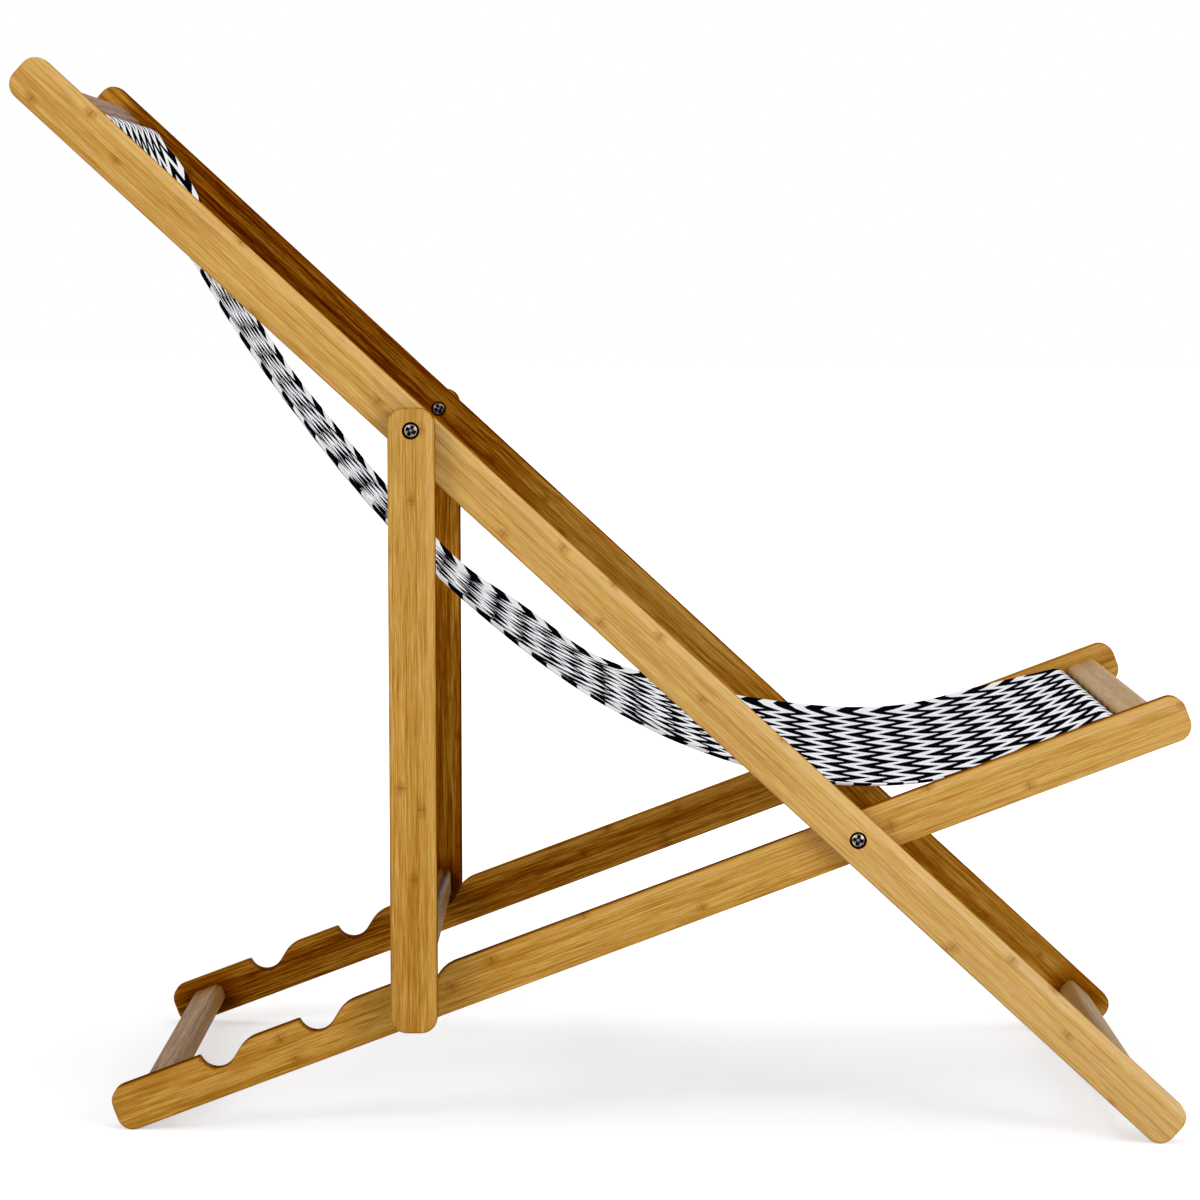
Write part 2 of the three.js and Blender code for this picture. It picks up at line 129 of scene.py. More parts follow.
def face_outwards(piece):
    """A closed mesh gets all its faces turned outwards."""
    work = bmesh.new()
    work.from_mesh(piece.data)
    bmesh.ops.recalc_face_normals(work, faces=work.faces)
    work.to_mesh(piece.data)
    work.free()
    piece.data.update()


def grid_faces(rows, columns, close_columns=False, start=0):
    """Quads between the neighbours of a grid of rows x columns points, as an index array."""
    across = np.arange(columns if close_columns else columns - 1)
    R, C = np.meshgrid(np.arange(rows - 1), across, indexing="ij")
    low, high, beside = R * columns, (R + 1) * columns, (C + 1) % columns
    quads = np.stack([low + C, low + beside, high + beside, high + C], -1)
    return quads.reshape(-1, 4) + start


# ---- outlines: closed lines of X and Z in a frame's own directions ----

def arc(x, z, radius, start, end, steps):
    """Points of a circle about (x, z) from one angle to another, both in degrees."""
    angle = np.radians(np.linspace(start, end, steps))
    return np.stack([x + radius * np.cos(angle), z + radius * np.sin(angle)], 1)


def board_outline(x_from, x_to, z_from, z_to, radius, steps=9):
    """A rectangle with round corners, counterclockwise."""
    return np.concatenate([
        arc(x_to - radius, z_from + radius, radius, -90, 0, steps),
        arc(x_to - radius, z_to - radius, radius, 0, 90, steps),
        arc(x_from + radius, z_to - radius, radius, 90, 180, steps),
        arc(x_from + radius, z_from + radius, radius, 180, 270, steps),
    ])


def seat_rail_outline():
    """The seat rail: round ends, and three notches in its upper edge.

    Each notch runs, from the front, over a convex arc onto a straight ramp, round a concave
    bed, and up to a hook with a small round tip."""
    top = RAIL_WIDTH / 2
    slope = math.degrees(RAMP_ANGLE)
    reach = (NOTCH_RADIUS + RAMP_RADIUS) * math.sin(RAMP_ANGLE) + (
        (NOTCH_RADIUS + RAMP_RADIUS) * math.cos(RAMP_ANGLE) - RAMP_RADIUS
    ) / math.tan(RAMP_ANGLE)
    back_off = math.sqrt((NOTCH_RADIUS + TIP_RADIUS) ** 2 - TIP_RADIUS ** 2)
    lean = math.degrees(math.asin(TIP_RADIUS / (NOTCH_RADIUS + TIP_RADIUS)))
    parts = [
        arc(SEAT_TO_FRONT - END_RADIUS, -top + END_RADIUS, END_RADIUS, -90, 0, 9),
        arc(SEAT_TO_FRONT - END_RADIUS, top - END_RADIUS, END_RADIUS, 0, 90, 9),
    ]
    for x in NOTCHES_AT:
        parts += [
            arc(x + reach, top - RAMP_RADIUS, RAMP_RADIUS, 90, 90 + slope, 7),
            arc(x, top, NOTCH_RADIUS, slope - 90, lean - 180, 17),
            arc(x - back_off, top - TIP_RADIUS, TIP_RADIUS, lean, 90, 6),
        ]
    parts += [
        arc(-SEAT_TO_REAR + END_RADIUS, top - END_RADIUS, END_RADIUS, 90, 180, 9),
        arc(-SEAT_TO_REAR + END_RADIUS, -top + END_RADIUS, END_RADIUS, 180, 270, 9),
    ]
    return np.concatenate(parts)


def outward(outline):
    """Unit normals of a counterclockwise outline, square to the line through both neighbours."""
    along = np.roll(outline, -1, 0) - np.roll(outline, 1, 0)
    along /= np.linalg.norm(along, axis=1)[:, None]
    return np.stack([along[:, 1], -along[:, 0]], 1)


# ---- boards ----

def board(name, outline, low, high, edge, place, body, seed, outer, inner, along="x",
          sinks=(), edge_shade=EDGE_PAINTED_SHADE, head_at=NOWHERE, bar_at=NOWHERE):
    """A board: its outline carried from one face to the other, with all its edges rounded.

    At a share t of the way round an edge of radius e, the outline is drawn in by
    e (1 - sin t) and stands e (1 - cos t) in from the face. The two faces are flat, and each
    sink is a round hole through them whose radius steps down as its profile says.

    The tone is painted shade. It deepens from the outer face to the inner one, each given at the
    board's two ends, and the edge tones add a hump of painted shade over the whole edge and one
    round the inner arris, where a negative value paints a highlight instead; the walls and floor of
    each hole get painted shade too. The board also carries its grain's own coordinates, and where
    along them the head's bar and the bar that shades it lie."""
    normal = outward(outline)
    turn = np.linspace(0, math.pi / 2, 6)
    drawn_in = np.concatenate([edge * (1 - np.sin(turn)), edge * (1 - np.sin(turn[::-1]))])
    across = np.concatenate([
        low + edge * (1 - np.cos(turn)), high - edge * (1 - np.cos(turn[::-1])),
    ])
    rings, count = len(across), len(outline)
    flat = outline[None] - drawn_in[:, None, None] * normal[None]
    points = np.stack([
        flat[..., 0], np.broadcast_to(across[:, None], (rings, count)), flat[..., 1],
    ], -1).reshape(-1, 3)
    end_grain = np.abs(normal[:, 1 if along == "z" else 0])[None] * np.ones((rings, 1))
    if along != "y":
        end_grain[[0, -1]] = 0
    end_grain = end_grain.ravel()
    faces = [grid_faces(rings, count, close_columns=True)]
    loops = {low: [np.arange(count)], high: [np.arange(count) + (rings - 1) * count]}
    sunk = np.zeros(0, int)
    for x, z, profile in sinks:
        radius, y = np.array(profile, float).T
        angle = np.linspace(0, 2 * math.pi, HOLE_SIDES, endpoint=False)
        hole = np.stack([
            x + radius[:, None] * np.cos(angle), y[:, None] + 0 * angle,
            z + radius[:, None] * np.sin(angle),
        ], -1).reshape(-1, 3)
        start = len(points)
        last = len(hole) - HOLE_SIDES
        faces.append(grid_faces(len(profile), HOLE_SIDES, close_columns=True, start=start))
        loops[low].append(np.arange(HOLE_SIDES) + start)
        loops[high].append(np.arange(HOLE_SIDES) + start + last)
        sunk = np.concatenate([sunk, np.arange(start + HOLE_SIDES, start + last)])
        points = np.concatenate([points, hole])
        end_grain = np.concatenate([end_grain, np.zeros(len(hole))])
    sides = sum(len(block) for block in faces)
    quads = [face for block in faces for face in block.tolist()]
    for level in (low, high):
        ids = np.concatenate(loops[level])
        rims = [[Vector((points[i, 0], points[i, 2], 0)) for i in loop] for loop in loops[level]]
        quads += [[int(ids[i]) for i in triangle] for triangle in tessellate_polygon(rims)]

    grain = points[:, {"x": [0, 2, 1], "y": [1, 0, 2], "z": [2, 0, 1]}[along]]
    reach = (grain[:, 0] - grain[:, 0].min()) / np.ptp(grain[:, 0])
    depth = (max(abs(low), abs(high)) - np.abs(points[:, 1])) / abs(high - low)
    depth = np.clip(depth, 0, 1)
    # Painted shade: deeper toward the inner face, over the edges, round the inner arris and in the
    # holes
    tone = (1 - depth) * np.interp(reach, [0, 1], outer) + depth * np.interp(reach, [0, 1], inner)
    if along != "y":
        tone += edge_shade[0] * (4 * depth * (1 - depth)) ** 0.7
        tone += edge_shade[1] * np.sin(math.pi * np.clip((1 - depth) / 0.3, 0, 1))
    tone[sunk] = HOLE_PAINTED_SHADE
    shift = seed * GRAIN_SHIFT
    places = [np.full(len(points), at + shift[0]) for at in (head_at, bar_at)]
    piece = put(
        name, place(points), quads, body, smooth=np.arange(len(quads)) < sides,
        vectors={
            "grain": grain + shift, "marks": np.stack([end_grain, tone, grain[:, 1]], 1),
            "corners": np.stack(places + [depth], 1),
        },
    )
    face_outwards(piece)
    return piece


def turned(origin, angle):
    """A placing: points in a frame's own directions are turned about Y and moved to its pivot."""
    def place(points):
        x = origin[0] + points[:, 0] * math.cos(angle) + points[:, 2] * math.sin(angle)
        z = origin[2] - points[:, 0] * math.sin(angle) + points[:, 2] * math.cos(angle)
        return np.stack([x, points[:, 1], z], 1)
    return place


# The seat's and the prop's angles follow from where the rails meet the floor and the notch
inset = RAIL_WIDTH / 2 - END_RADIUS
rear_arm = SEAT_TO_REAR - END_RADIUS
SEAT_ANGLE = math.asin((MAIN[2] - END_RADIUS) / math.hypot(rear_arm, inset))
SEAT_ANGLE -= math.atan2(inset, rear_arm)

on_back = turned(MAIN, BACK_ANGLE)
on_seat = turned(MAIN, -SEAT_ANGLE)
notch = on_seat(np.array([[NOTCHES_AT[0], 0, RAIL_WIDTH / 2]]))[0]
reach = np.hypot(notch[0] - PROP[0], PROP[2] - notch[2])
PROP_TILT = -math.atan2(notch[0] - PROP[0], PROP[2] - notch[2])
on_prop = turned(PROP, PROP_TILT)
bed = math.sqrt(
    (NOTCH_RADIUS - BAR_RADIUS - NOTCH_GAP) ** 2 - (BAR_THICKNESS / 2 - BAR_RADIUS) ** 2
)
PROP_BAR_AT = reach + bed - (BAR_WIDTH / 2 - BAR_RADIUS)


def stepped(outer, inner):
    """The profile of a hole that is wide for a bolt head at its outer face and plain beyond.

    Each pair is a radius and the y at which the hole has it, and the mouth is a small round."""
    toward = 1 if inner > outer else -1
    floor = outer + toward * SINK_DEPTH
    return [
        (SINK_RADIUS + MOUTH_ROUND, outer),
        (SINK_RADIUS + MOUTH_BEND, outer + toward * MOUTH_BEND),
        (SINK_RADIUS, outer + toward * MOUTH_ROUND), (SINK_RADIUS, floor),
        (BORE_RADIUS, floor), (BORE_RADIUS, inner),
    ]


def layered(layer, side):
    """A layer's two faces on one side of the chair, lower y first, and its outer and inner face."""
    inner, outer = side * layer[0], side * layer[1]
    return min(inner, outer), max(inner, outer), outer, inner


def ordered(profile, low):
    """A hole's profile from the lower face up, as a board wants it."""
    return profile if abs(profile[0][1] - low) < 1e-6 else profile[::-1]


SIDES = {"left": 1, "right": -1}
half_rail = RAIL_WIDTH / 2
boards = []
for side, sign in SIDES.items():
    seed = 3 if side == "left" else 11
    low, high, outer, inner = layered(BACK_LAYER, sign)
    # Each board's two tone pairs, for its outer face and its inner one at its two ends, are painted
    # shade; a negative tone paints light, as toward the back board's foot
    boards.append(board(
        f"back_board_{side}",
        board_outline(-BACK_TO_HEAD, BACK_TO_FOOT, -half_rail, half_rail, END_RADIUS),
        low, high, EDGE_ROUND, on_back, "back_frame", seed,
        (0.05, -0.12), (1.85, 0.5),
        sinks=[
            (0, 0, ordered(stepped(outer, inner), low)),
            (PROP_PIVOT_AT, 0, ordered(stepped(inner, outer), low)),
        ],
        # The near side's back board gets a painted highlight round its inner arris instead of
        # painted shade
        edge_shade=EDGE_PAINTED_SHADE if side == "left" else (0.0, -0.2),
        head_at=HEAD_BAR_AT, bar_at=FOOT_BAR_AT,
    ))
    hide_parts(f"back_rail_{side}")
    low, high, outer, inner = layered(SEAT_LAYER, sign)
    boards.append(board(
        f"seat_board_{side}", seat_rail_outline(), low, high, SEAT_EDGE_ROUND, on_seat,
        "seat_frame", seed + 2, (0.36, 0.0), (1.2, 0.25),
        sinks=[(0, 0, ordered(stepped(inner, outer), low))], bar_at=REAR_BAR_AT,
    ))
    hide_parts(f"seat_rail_{side}")
    low, high, outer, inner = layered(LEG_LAYER, sign)
    boards.append(board(
        f"prop_board_{side}",
        board_outline(-half_rail, half_rail, -LEG_BELOW, LEG_ABOVE, END_RADIUS),
        low, high, EDGE_ROUND, on_prop, "prop_frame", seed + 5,
        (0.2, 0.05), (0.9, 0.9), along="z",
        sinks=[(0, 0, ordered(stepped(outer, inner), low))], bar_at=-PROP_BAR_AT,
    ))
    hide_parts(f"prop_leg_{side}")

# Crossbars and rods: their section carried across the chair
bars = []


def bar(node, section, layer, place, body, seed, tone):
    """A section carried from one side's boards to the other's, with one tone of painted shade all
    over.
    """
    half = layer[0] + BAR_REACH
    piece = board(
        node + "_bar", section, -half, half, BAR_END_ROUND, place, body, seed,
        (tone, tone), (tone, tone), along="y",
    )
    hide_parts(node)
    bars.append(piece)


def bar_section(x, z, upright=False):
    """A crossbar's section about (x, z): a rectangle with well rounded corners."""
    wide, thick = BAR_WIDTH / 2, BAR_THICKNESS / 2
    dx, dz = (thick, wide) if upright else (wide, thick)
    return board_outline(x - dx, x + dx, z - dz, z + dz, BAR_RADIUS, 8)


def rod_section(x):
    """A sling rod's section about (x, 0): a circle."""
    return arc(x, 0, ROD_RADIUS, 0, 360 - 360 / ROD_SIDES, ROD_SIDES)


# The last number of each is its tone of painted shade, deepest on the prop's and the head's bars,
# where shade falls
for crosspiece in (
    ("head_crossbar", bar_section(HEAD_BAR_AT, 0), BACK_LAYER, on_back, "back_frame", 21, 1.35),
    ("foot_crossbar", bar_section(FOOT_BAR_AT, 0), BACK_LAYER, on_back, "back_frame", 22, 0.1),
    ("front_crossbar", bar_section(FRONT_BAR_AT, 0), SEAT_LAYER, on_seat, "seat_frame", 23, 0.08),
    ("rear_crossbar", bar_section(REAR_BAR_AT, 0), SEAT_LAYER, on_seat, "seat_frame", 24, 0.55),
    ("prop_crossbar", bar_section(0, -PROP_BAR_AT, upright=True), LEG_LAYER, on_prop,
     "prop_frame", 25, 1.6),
    ("head_sling_rod", rod_section(HEAD_ROD_AT), BACK_LAYER, on_back, "back_frame", 26, 0.3),
    ("seat_sling_rod", rod_section(SEAT_ROD_AT), SEAT_LAYER, on_seat, "seat_frame", 27, 0.3),
):
    bar(*crosspiece)


# ---- pivot hardware ----

def bolt_head(name, centre, seat, side, turn, node, added_shade):
    """A domed head with a cross recess, on a polar grid of radius and angle.

    Its height over the seat is a low dome with a faint ridge where the rim turns down in a small
    round. The recess drops by a depth that fades out over the sloping walls of its four slots,
    which meet in a round core. Painted shade fills the recess, apart from a painted glint at its
    core, darkens the head's side all over, and lies thinner on the dome, which it leaves bright in
    painted highlights on its upper slants; the last argument adds more painted shade there."""
    flat, rim_width = 5.0, 0.9
    slot_half, slot_wall, slot_reach, slot_end = 1.65, 0.5, 4.7, 0.7
    core_radius, core_wall, recess = 2.7, 0.9, 1.9
    r = np.concatenate([
        np.linspace(0, flat, 44),
        HEAD_RADIUS - rim_width + rim_width * np.sin(np.linspace(0.1, math.pi / 2, 7)),
    ])
    angle = np.linspace(0, 2 * math.pi, HEAD_SIDES, endpoint=False)
    R, A = np.meshgrid(r, angle, indexing="ij")
    u, v = R * np.cos(A), R * np.sin(A)
    top = HEAD_HEIGHT - 0.9 * (R / HEAD_RADIUS) ** 2
    rim = np.clip((R - flat) / rim_width, 0, 1)
    top -= rim_width * (1 - np.sqrt(np.clip(1 - rim ** 2, 0, 1)))
    arm = np.minimum(np.abs(u), np.abs(v))
    reach_out = np.maximum(np.abs(u), np.abs(v))
    slot = np.clip((slot_half - arm) / slot_wall, 0, 1)
    slot *= np.clip((slot_reach - reach_out) / slot_end, 0, 1)
    pit = np.maximum(slot, np.clip((core_radius - R) / core_wall, 0, 1))
    top -= recess * pit
    top += 0.3 * np.exp(-((R - 5.15) / 0.4) ** 2)
    # Painted shade in the recess, with a painted glint at its core
    shadow = np.clip(1.5 * pit - 0.1, 0, 1) * (1 - 0.8 * np.exp(-R ** 2))
    # Painted highlights on the dome's upper slants, where light falls from above
    bright = np.abs(np.sin(2 * (A + turn))) * np.clip(3 * np.sin(A + turn), 0, 1)
    # Painted shade on the rest of the dome
    dull = 0.6 * (1 - bright) + added_shade
    face = np.stack([
        centre[0] + R * np.cos(A + turn), seat + side * top, centre[2] + R * np.sin(A + turn),
    ], -1).reshape(-1, 3)
    wall = np.stack([
        centre[0] + HEAD_RADIUS * np.cos(angle + turn), np.full(HEAD_SIDES, seat),
        centre[2] + HEAD_RADIUS * np.sin(angle + turn),
    ], -1)
    points = np.concatenate([face, wall])
    faces = grid_faces(len(r) + 1, HEAD_SIDES, close_columns=True).tolist()
    faces.append(list(range(len(face), len(points))))
    head_painted_shade = np.zeros((len(points), 3))
    head_painted_shade[:len(face), 0] = np.clip(np.maximum(shadow, dull), 0, 1).ravel()
    # The head's side and underside are all painted shade
    head_painted_shade[len(face):, 0] = 1
    piece = put(name, points, faces, "back_frame", vectors={"head_painted_shade": head_painted_shade})
    work = bmesh.new()
    work.from_mesh(piece.data)
    bmesh.ops.remove_doubles(work, verts=work.verts, dist=1e-6)
    bmesh.ops.recalc_face_normals(work, faces=work.faces)
    work.to_mesh(piece.data)
    work.free()
    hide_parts(node)
    return piece


# Each pivot has a screw's head in its outer board and a sleeve's head in its inner one, which gets
# more painted shade
heads = []
for side, sign in SIDES.items():
    for pivot, point, inner, outer, cross in (
        ("main", MAIN, SEAT_LAYER[0], BACK_LAYER[1], -0.2),
        ("prop", PROP, BACK_LAYER[0], LEG_LAYER[1], 1.1),
    ):
        heads.append(bolt_head(
            f"{pivot}_screw_head_{side}", point, sign * (outer - SINK_DEPTH + HEAD_GAP), sign,
            cross, f"{pivot}_pivot_screw_{side}", 0.0,
        ))
        heads.append(bolt_head(
            f"{pivot}_sleeve_head_{side}", point, sign * (inner + SINK_DEPTH - HEAD_GAP), -sign,
            cross + 0.9, f"{pivot}_pivot_sleeve_{side}", 0.25,
        ))


# ---- sling ----

CLOTH_HALF, CLOTH_THICK = 228.5, 1.1

# The radius at which the cloth goes round a rod, and the lap of each hem: how far from the
# rod it starts, how long it is and how far it lies under the cloth
ROD_GAP = 0.35
WRAP = ROD_RADIUS + CLOTH_THICK / 2 + ROD_GAP
LAP_START, HEM_LAP, LAP_GAP = 22.0, 26.0, 0.45

# The turned-over long edges: how wide they are, how much thicker and how fast they end, and
# the length beside each rod that goes without them; and the round of the cloth's very edge
HEM_WIDTH, HEM_SWELL, HEM_FADE, HEM_STOP = 6, 0.75, 3.5, 15
EDGE_RADIUS = 1.3

# Points of the cloth's middle line from head to seat, in X and Z from the main pivot
HANG = np.array([
    (-631, 557), (-579, 475), (-503, 361), (-410, 257), (-290, 157), (-190, 97),
    (-104, 66), (-18, 51), (72, 55), (152, 78),
], float)

# The twist on the seat and on the back, where it changes over as a share of the hang from the
# seat's rod, and how far the cloth falls over each half of its width toward the far edge
TWIST_SEAT, TWIST_BACK, SEAT_SHARE, FAR_DROP = 9, 8, 0.38, 2.4

# The curl of the far edge and of the near one, as height and width, the crosswise sag, and
# how far the far edge stands off below the head's rod
FAR_CURL, NEAR_CURL, SAG, STAND_OFF = (4.8, 5.5), (2.6, 4.5), 1.6, 12.5

# Local bumps of the near edge and the far edge: height, place on the hang, width and power
NEAR_BUMPS = ((6.0, 0.88, 0.05, 2), (5.2, 0.755, 0.09, 2), (-3.4, 0.475, 0.125, 4))
FAR_BUMPS = (
    (6.5, 0.7, 0.09, 2), (-5.0, 0.545, 0.045, 2), (-5.0, 0.415, 0.04, 2), (2.5, 0.24, 0.06, 2),
)

# The zig-zags: a stripe's step along the cloth and its black share, a tooth's width across it
# and its height on the seat and on the back
STRIPE, STRIPE_PHASE, BLACK_SHARE = 31.64, 12.4, 0.54
TOOTH, TOOTH_PHASE = 47.0, 12.0
TOOTH_HEIGHT_SEAT, TOOTH_HEIGHT_BACK = 23.0, 24.5
HEIGHT_CHANGES = (650.0, 900.0)

# How the teeth stand sideways: still on the back, slid over, then swaying along the seat
BACK_SLIDE, SLIDE_ENDS = 31.0, (640.0, 830.0)
DRIFT_FROM, DRIFT_WAVE = 870.0, 360.0
DRIFT, DRIFT_PHASE = (28.8, 8.0), (1.925, 1.76)

head_rod = on_back(np.array([[HEAD_ROD_AT, 0, 0]]))[0][[0, 2]]
seat_rod = on_seat(np.array([[SEAT_ROD_AT, 0, 0]]))[0][[0, 2]]


def unit(x, z):
    """The direction of (x, z), with a length of one."""
    return np.array([x, z]) / math.hypot(x, z)


def through(points, count):
    """A Catmull-Rom curve through the points, evened out to equal steps of its length."""
    padded = np.concatenate([points[:1], points, points[-1:]])
    t = np.linspace(0, 1, 40, endpoint=False)[None, :, None]
    a, b, c, d = (padded[i:len(padded) - 3 + i, None] for i in range(4))
    curve = 0.5 * (
        2 * b + (c - a) * t + (2 * a - 5 * b + 4 * c - d) * t ** 2
        + (3 * b - a - 3 * c + d) * t ** 3
    )
    curve = np.concatenate([curve.reshape(-1, 2), points[-1:]])
    return even(curve, count)


def even(line, count):
    """A line's columns at equal steps of its length in the first two."""
    step = np.linalg.norm(np.diff(line[:, :2], axis=0), axis=1)
    length = np.concatenate([[0], np.cumsum(step)])
    at = np.linspace(0, length[-1], count)
    return np.stack([np.interp(at, length, column) for column in line.T], 1)


def rod_loop(rod_centre, start_direction, end_direction, clockwise):
    """The cloth's arc round a rod from one direction to another, clockwise or the other way."""
    start = math.atan2(start_direction[1], start_direction[0])
    end = math.atan2(end_direction[1], end_direction[0])
    if clockwise and end > start:
        end -= 2 * math.pi
    if not clockwise and end < start:
        end += 2 * math.pi
    angle = np.linspace(start, end, 60)
    return rod_centre + WRAP * np.stack([np.cos(angle), np.sin(angle)], 1)


def full_line():
    """The cloth's middle line, with its columns X, Z, normal X, normal Z and place on the hang.

    It starts at the seam under the cloth behind the seat rod, goes round that rod, hangs up to
    the head rod, goes round it and ends at the seam under the cloth there. The place on the
    hang runs from 0 at the seat rod to 1 at the head rod, and a lap has the place above it."""
    hang = through(np.concatenate([
        [head_rod + WRAP * unit(0.84, 0.54)], HANG + MAIN[[0, 2]],
        [seat_rod + WRAP * unit(-0.24, 0.97)],
    ]), 700)[::-1]
    along = np.gradient(hang, axis=0)
    along /= np.linalg.norm(along, axis=1)[:, None]
    up = np.stack([along[:, 1], -along[:, 0]], 1)
    length = np.concatenate([[0], np.cumsum(np.linalg.norm(np.diff(hang, axis=0), axis=1))])
    share = length / length[-1]
    pieces = []
    for order, centre, turn in ((1, seat_rod, 1), (-1, head_rod, -1)):
        line, normal, place = hang[::order], up[::order], share[::order]
        distance = np.abs(place - place[0]) * length[-1]
        pick = (distance > LAP_START) & (distance < LAP_START + HEM_LAP)
        lap = (line - normal * (CLOTH_THICK + LAP_GAP))[pick][::-1]
        touch = lap[-1] - centre
        leave = math.atan2(touch[1], touch[0])
        leave += turn * math.acos(min(1, WRAP / math.hypot(*touch)))
        start = np.array([math.cos(leave), math.sin(leave)])
        loop = rod_loop(centre, start, line[0] - centre, turn < 0)
        out = (loop - centre) / WRAP
        pieces.append(np.concatenate([
            np.column_stack([lap, normal[pick][::-1], place[pick][::-1]]),
            np.column_stack([loop, out, np.full(len(loop), place[0])]),
        ]))
    seat_end, head_end = pieces
    middle = np.column_stack([hang, up, share])
    line = np.concatenate([seat_end, middle[1:-1], head_end[::-1]])
    return even(line, 1500), [run_of(part) for part in (seat_end, middle, head_end)]


def run_of(line):
    """The length of a line, measured in its first two columns."""
    return np.linalg.norm(np.diff(line[:, :2], axis=0), axis=1).sum()


middle_line, (SEAT_WRAP, HANG_LENGTH, HEAD_WRAP) = full_line()
CLOTH_LENGTH = SEAT_WRAP + HANG_LENGTH + HEAD_WRAP


def cloth_surface(rows, columns):
    """The cloth's middle surface over its length and width, in millimetres.

    Each crosswise row is the middle line's point, moved along the line's normal by the sum of
    a twist, by which the near edge hangs lower behind and higher in front; a curl of each long
    edge toward the sitter, which fades inwards; a shallow sag between the edges; low ripples;
    and local bumps of the two long edges, h exp(-|(place - p) / w|^n) times the square of the
    distance from the middle, with one more where the far edge stands off below the head's rod.
    Twist, curls, sag and ripples fade out towards the two rods."""
    line = even(middle_line, rows)
    s = np.linspace(0, CLOTH_LENGTH, rows)
    v = np.linspace(-1, 1, columns)
    v = 0.6 * v + 0.4 * np.sin(v * math.pi / 2)
    hang = line[:, 4]
    free = np.clip(4 * hang * (1 - hang), 0, 1) ** 0.6
    twist = np.where(
        hang < SEAT_SHARE, TWIST_SEAT * np.sin(math.pi * hang / SEAT_SHARE),
        -TWIST_BACK * np.sin(math.pi * (hang - SEAT_SHARE) / (1 - SEAT_SHARE)),
    )
    H, V = np.meshgrid(hang, v, indexing="ij")
    fade = free[:, None]
    near, far = np.clip(-V, 0, 1) ** 2, np.clip(V, 0, 1) ** 2
    lift = twist[:, None] * V - fade * FAR_DROP * (1 + V)
    for away, (height, width) in (1 - V, FAR_CURL), (1 + V, NEAR_CURL):
        lift += fade * height * np.exp(-away * CLOTH_HALF / width)
    lift += fade * SAG * (V ** 2 - 1)
    for side, bumps in (near, NEAR_BUMPS), (far, FAR_BUMPS):
        for height, place, width, power in bumps:
            lift += side * height * np.exp(-np.abs((H - place) / width) ** power)
    lift += fade ** 2 * 0.7 * np.sin(15 * V + 9 * H) * np.cos(6.3 * V - 14 * H + 0.6)
    lift += fade ** 2 * 0.4 * np.sin(31 * V - 21 * H + 1.1)
    below_rod = np.tanh((1 - H) / 0.015) * np.exp(-((H - 0.935) / 0.055) ** 4)
    lift += STAND_OFF * below_rod * np.clip(V, 0, 1) ** 4
    points = np.stack([
        line[:, 0][:, None] + line[:, 2][:, None] * lift,
        np.broadcast_to(V * CLOTH_HALF, lift.shape),
        line[:, 1][:, None] + line[:, 3][:, None] * lift,
    ], -1)
    return points, s, v * CLOTH_HALF


def sling():
    """The cloth as a thin closed shell: two copies of its surface, half a thickness either way.

    The thickness swells near both long edges, where the cloth is turned over into a hem."""
    rows, columns = 620, 141
    points, s, y = cloth_surface(rows, columns)
    du = np.gradient(points, axis=0)
    dv = np.gradient(points, axis=1)
    normal = np.cross(du, dv)
    normal /= np.linalg.norm(normal, axis=2)[..., None]
    edge = CLOTH_HALF - np.abs(y)
    beyond = np.clip(edge - HEM_WIDTH, 0, None) / HEM_FADE
    swell = 0.5 * CLOTH_THICK + HEM_SWELL * np.exp(-beyond ** 2)
    wrapped = (s < SEAT_WRAP + HEM_STOP) | (s > SEAT_WRAP + HANG_LENGTH - HEM_STOP)
    half = np.where(wrapped[:, None], 0.5 * CLOTH_THICK, swell[None])
    window = 25
    mean = np.ones(window) / window
    half = np.apply_along_axis(
        lambda column: np.convolve(np.pad(column, window // 2, "edge"), mean, "valid"), 0, half,
    )
    from_edge = np.clip(1 - edge / EDGE_RADIUS, 0, 1)
    half = half * np.sqrt(np.clip(1 - from_edge ** 2, 0.02, 1))[None]
    upper = points + normal * half[..., None]
    lower = points - normal * half[..., None]
    both = np.concatenate([upper.reshape(-1, 3), lower.reshape(-1, 3)])
    n = rows * columns
    sheet_faces = grid_faces(rows, columns)
    faces = [sheet_faces, sheet_faces[:, ::-1] + n]
    ids = np.arange(n).reshape(rows, columns)
    rim = np.concatenate([ids[0], ids[1:, -1], ids[-1, -2::-1], ids[-2:0:-1, 0]])
    nxt = np.roll(rim, -1)
    faces.append(np.stack([rim, rim + n, nxt + n, nxt], -1))
    S, Y = np.meshgrid(s, y, indexing="ij")
    weave = np.stack([S, Y, np.ones_like(S)], -1).reshape(-1, 3)
    piece = put(
        "sling_cloth", both, np.concatenate(faces).tolist(),
        vectors={"weave": np.concatenate([weave, weave * np.array([1, 1, -1])])},
    )
    face_outwards(piece)
    return piece


cloth = sling()
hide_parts("sling")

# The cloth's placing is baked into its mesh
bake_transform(cloth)


# ---- materials ----

def tree_of(name):
    """A new material with its node tree and its shader."""
    material = bpy.data.materials.new(name)
    material.use_nodes = True
    tree = material.node_tree
    return material, tree, tree.nodes["Principled BSDF"]


def node(tree, kind, inputs=(), **settings):
    """A node with its settings, and its inputs set to values or linked to sockets."""
    made = tree.nodes.new(kind)
    for key, value in settings.items():
        setattr(made, key, value)
    for key, value in dict(inputs).items():
        if isinstance(value, bpy.types.NodeSocket):
            tree.links.new(value, made.inputs[key])
        else:
            made.inputs[key].default_value = value
    return made


def maths(tree, operation, *values, clamp=False):
    """A Math node's result on numbers or sockets."""
    made = node(tree, "ShaderNodeMath", enumerate(values), operation=operation, use_clamp=clamp)
    return made.outputs[0]


